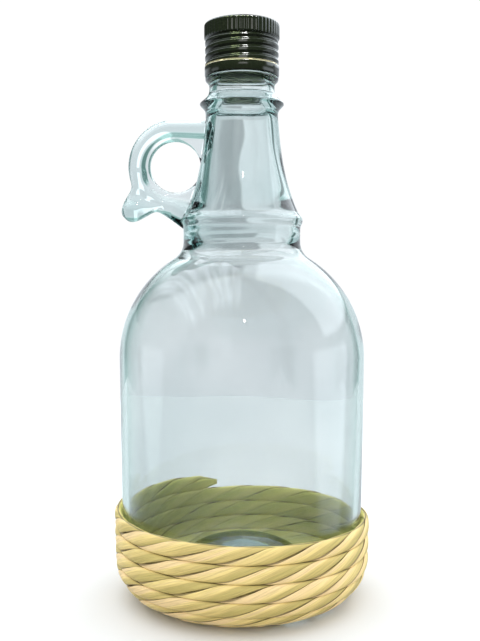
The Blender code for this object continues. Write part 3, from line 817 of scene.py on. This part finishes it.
white_foam, tree, shader = new_finish("white_foam")
spot = add_node(tree, "TexCoord", "Object", {})
cells = noise(tree, spot, 2600.0, 2.0)
foam = blend(tree, cells, (0.62, 0.61, 0.56, 1), (0.84, 0.83, 0.79, 1))
tree.links.new(foam, shader.inputs["Base Color"])
shader.inputs["Roughness"].default_value = 0.6
bump(tree, shader, cells, 0.0001)
dress_node("cap_liner", white_foam)


# Studio
# A pale floor in a white room, seen from a little above the jug's waist. The glass and the cap
# mirror the room's window, its curtain and its bright sides. Three lamps light only the cap and
# the band, and a small one lights only the glass.

bpy.ops.mesh.primitive_plane_add(size=1.1, location=(0, 0, 0))
floor = bpy.context.object
floor.name = "floor"
pale_floor, tree, shader = new_finish("pale_floor")
shader.inputs["Base Color"].default_value = (0.72, 0.72, 0.72, 1)
shader.inputs["Roughness"].default_value = 0.9
shader.inputs["Specular IOR Level"].default_value = 0.0
floor.data.materials.append(pale_floor)
floor.visible_glossy = False


def soft_light(name, place, target, width, height, power, reaches, colour=(1, 1, 1)):
    """A rectangular lamp at a place, turned to face a target, which lights a set of pieces."""
    lamp = bpy.data.lights.new(name, "AREA")
    lamp.shape = "RECTANGLE"
    lamp.size, lamp.size_y = width, height
    lamp.energy = power
    lamp.color = colour
    held = bpy.data.objects.new(name, lamp)
    bpy.context.scene.collection.objects.link(held)
    held.location = place
    held.rotation_euler = (Vector(target) - Vector(place)).to_track_quat("-Z", "Y").to_euler()
    held.visible_camera = False
    held.visible_transmission = False
    held.light_linking.receiver_collection = reaches


def set_of(name, *pieces):
    """A collection of finished pieces."""
    held = bpy.data.collections.new(name)
    for piece in pieces:
        held.objects.link(bpy.data.objects[piece])
    return held


lacquered = set_of("lacquered", "black_cap", "tear_band")
glassy = set_of("glassy", "jug_glass")
cap_middle = (0, 0, 0.23)
soft_light("right_lamp", (0.10, -0.50, 0.78), cap_middle, 0.18, 0.07, 12.0, lacquered)
soft_light(
    "left_lamp", (-0.22, -0.50, 0.76), cap_middle, 0.34, 0.06, 5.0, lacquered, (0.80, 1.0, 0.45),
)
soft_light("front_lamp", (0.03, -0.53, 0.37), (0, 0, 0.235), 0.24, 0.06, 0.14, lacquered)
soft_light("flash", (0.03, -0.60, 0.58), (0, 0, 0.15), 0.03, 0.03, 0.2, glassy)

world = bpy.data.worlds.new("room")
bpy.context.scene.world = world
world.use_nodes = True
tree = world.node_tree


def glow(strength, colour=(1.0, 1.0, 1.0, 1)):
    """Light from all round, with a strength and a colour that may vary with direction."""
    return add_node(tree, "Background", "Background", {}, Color=colour, Strength=strength)


def choose(ray, first, second):
    """The second light for one kind of ray and the first for the others."""
    mixed = tree.nodes.new("ShaderNodeMixShader")
    tree.links.new(add_node(tree, "LightPath", ray, {}), mixed.inputs[0])
    tree.links.new(first, mixed.inputs[1])
    tree.links.new(second, mixed.inputs[2])
    return mixed.outputs["Shader"]


# The walls as they show through the glass: white all round, with a teal shade in the four
# corners, which draws the glass's edges, and a step in brightness right behind the neck
toward_x, toward_y, toward_z = parts_of(tree, add_node(tree, "TexCoord", "Generated", {}))
thick = maths(tree, "LESS_THAN", add_node(tree, "LightPath", "Transmission Depth", {}), 3.0)
thin = maths(tree, "SUBTRACT", 1.0, thick)
xx = times(tree, toward_x, toward_x)
yy = times(tree, toward_y, toward_y)
corner = maths(tree, "DIVIDE", maths(tree, "SUBTRACT", xx, yy), plus(tree, xx, yy, 0.02))
corner = plus(tree, maths(tree, "ABSOLUTE", corner), times(tree, toward_x, 0.22))
dark = times(
    tree, ramp(tree, toward_z, -0.22, -0.08, 0.0, 1.0), ramp(tree, corner, 0.20, 0.50, 1.0, 0.0),
)
leftward = times(tree, thick, ramp(tree, toward_x, -0.2, 0.0, 0.35, 0.0))
dark = times(tree, dark, maths(tree, "SUBTRACT", 1.0, leftward))
above = times(tree, thick, ramp(tree, toward_z, 0.42, 0.60, 0.0, 0.5))
dark = maths(tree, "MAXIMUM", dark, above)
behind = times(
    tree, thin,
    ramp(tree, toward_y, 0.0, 0.2, 0.0, 1.0),
    ramp(tree, toward_z, 0.015, 0.045, 0.0, 1.0),
    ramp(tree, toward_z, 0.27, 0.33, 1.0, 0.0),
)
divide = plus(
    tree,
    ramp(tree, toward_x, -0.010, 0.010, -0.32, 0.26),
    ramp(tree, toward_x, -0.30, -0.14, 0.30, 0.0),
)
shine = times(
    tree, thick,
    ramp(tree, toward_x, -0.40, -0.30, 0.0, 0.75),
    ramp(tree, toward_x, -0.16, -0.12, 1.0, 0.0),
    ramp(tree, toward_z, 0.0, 0.05, 0.0, 1.0),
)
bright = plus(
    tree,
    times(tree, 1.07, plus(tree, 1.0, times(tree, behind, divide))),
    ramp(tree, toward_z, -0.13, 0.04, 0.13, 0.0),
    shine,
    ramp(tree, toward_z, 0.30, 0.85, 0.0, 0.4),
)
teal = blend(tree, dark, (0.97, 0.99, 1.03, 1), (0.40, 1.0, 0.90, 1))
walls = glow(times(tree, bright, ramp(tree, dark, 0.0, 1.0, 1.0, 0.08)), teal)

# The room as the glass and the cap mirror it
level = times(
    tree, ramp(tree, toward_z, -0.5, -0.2, 0.0, 1.0), ramp(tree, toward_z, 0.06, 0.16, 1.0, 0.1),
)
right_side = times(tree, level, ramp(tree, toward_x, 0.90, 0.95, 0.0, 2.4))
left_side = times(tree, level, ramp(tree, toward_x, -0.98, -0.95, 1.2, 0.0))
rear = times(
    tree, ramp(tree, toward_y, 0.2, 0.7, 0.0, 1.0), ramp(tree, toward_z, 0.20, 0.24, 1.0, 0.1),
)
window = times(
    tree,
    ramp(tree, toward_x, 0.12, 0.20, 0.0, 3.0),
    ramp(tree, toward_y, -0.14, -0.04, 0.0, 1.0),
    ramp(tree, toward_z, 0.22, 0.30, 0.0, 1.0),
)
folds = noise(tree, place_at(tree, times(tree, toward_x, 13.0), times(tree, toward_y, 1.5)), 1.0, 1.0)
curtain = times(
    tree,
    ramp(tree, toward_x, -0.88, -0.64, 0.0, 1.0),
    ramp(tree, toward_x, -0.06, 0.02, 1.0, 0.0),
    ramp(tree, toward_y, -0.64, -0.40, 0.0, 1.0),
    ramp(tree, toward_z, 0.38, 0.62, 0.0, 1.0),
    ramp(tree, folds, 0.35, 0.65, 1.8, 4.2),
)
mirrored = plus(tree, 0.07, right_side, left_side, rear, window, curtain)
mirrored = glow(mirrored, (0.86, 0.94, 1.0, 1))

# The light that falls on the floor and the wicker, and what reaches them through the glass
overhead = times(tree, maths(tree, "MAXIMUM", toward_z), 0.85)
daylight = glow(plus(tree, overhead, times(tree, toward_x, 0.20), 0.84))
front = ramp(tree, toward_y, -0.95, -0.4, 6.0, 0.0)
let_in = glow(plus(tree, ramp(tree, toward_z, 0.5, 0.75, 1.0, 9.0), front))

room = choose("Is Transmission Ray", mirrored, walls)
room = choose("Diffuse Depth", room, choose("Is Transmission Ray", daylight, let_in))
room = choose("Is Camera Ray", room, glow(1.02))
tree.links.new(room, tree.nodes["World Output"].inputs["Surface"])

bpy.context.scene.view_settings.view_transform = "Standard"
lens = bpy.data.cameras.new("camera")
lens.lens = 48.07
lens.sensor_width = 36
camera = bpy.data.objects.new("camera", lens)
bpy.context.scene.collection.objects.link(camera)
camera.location = (-0.0008, -0.3684, 0.1402)
camera.rotation_euler = (math.radians(90 - 3.4), 0, 0)
bpy.context.scene.camera = camera
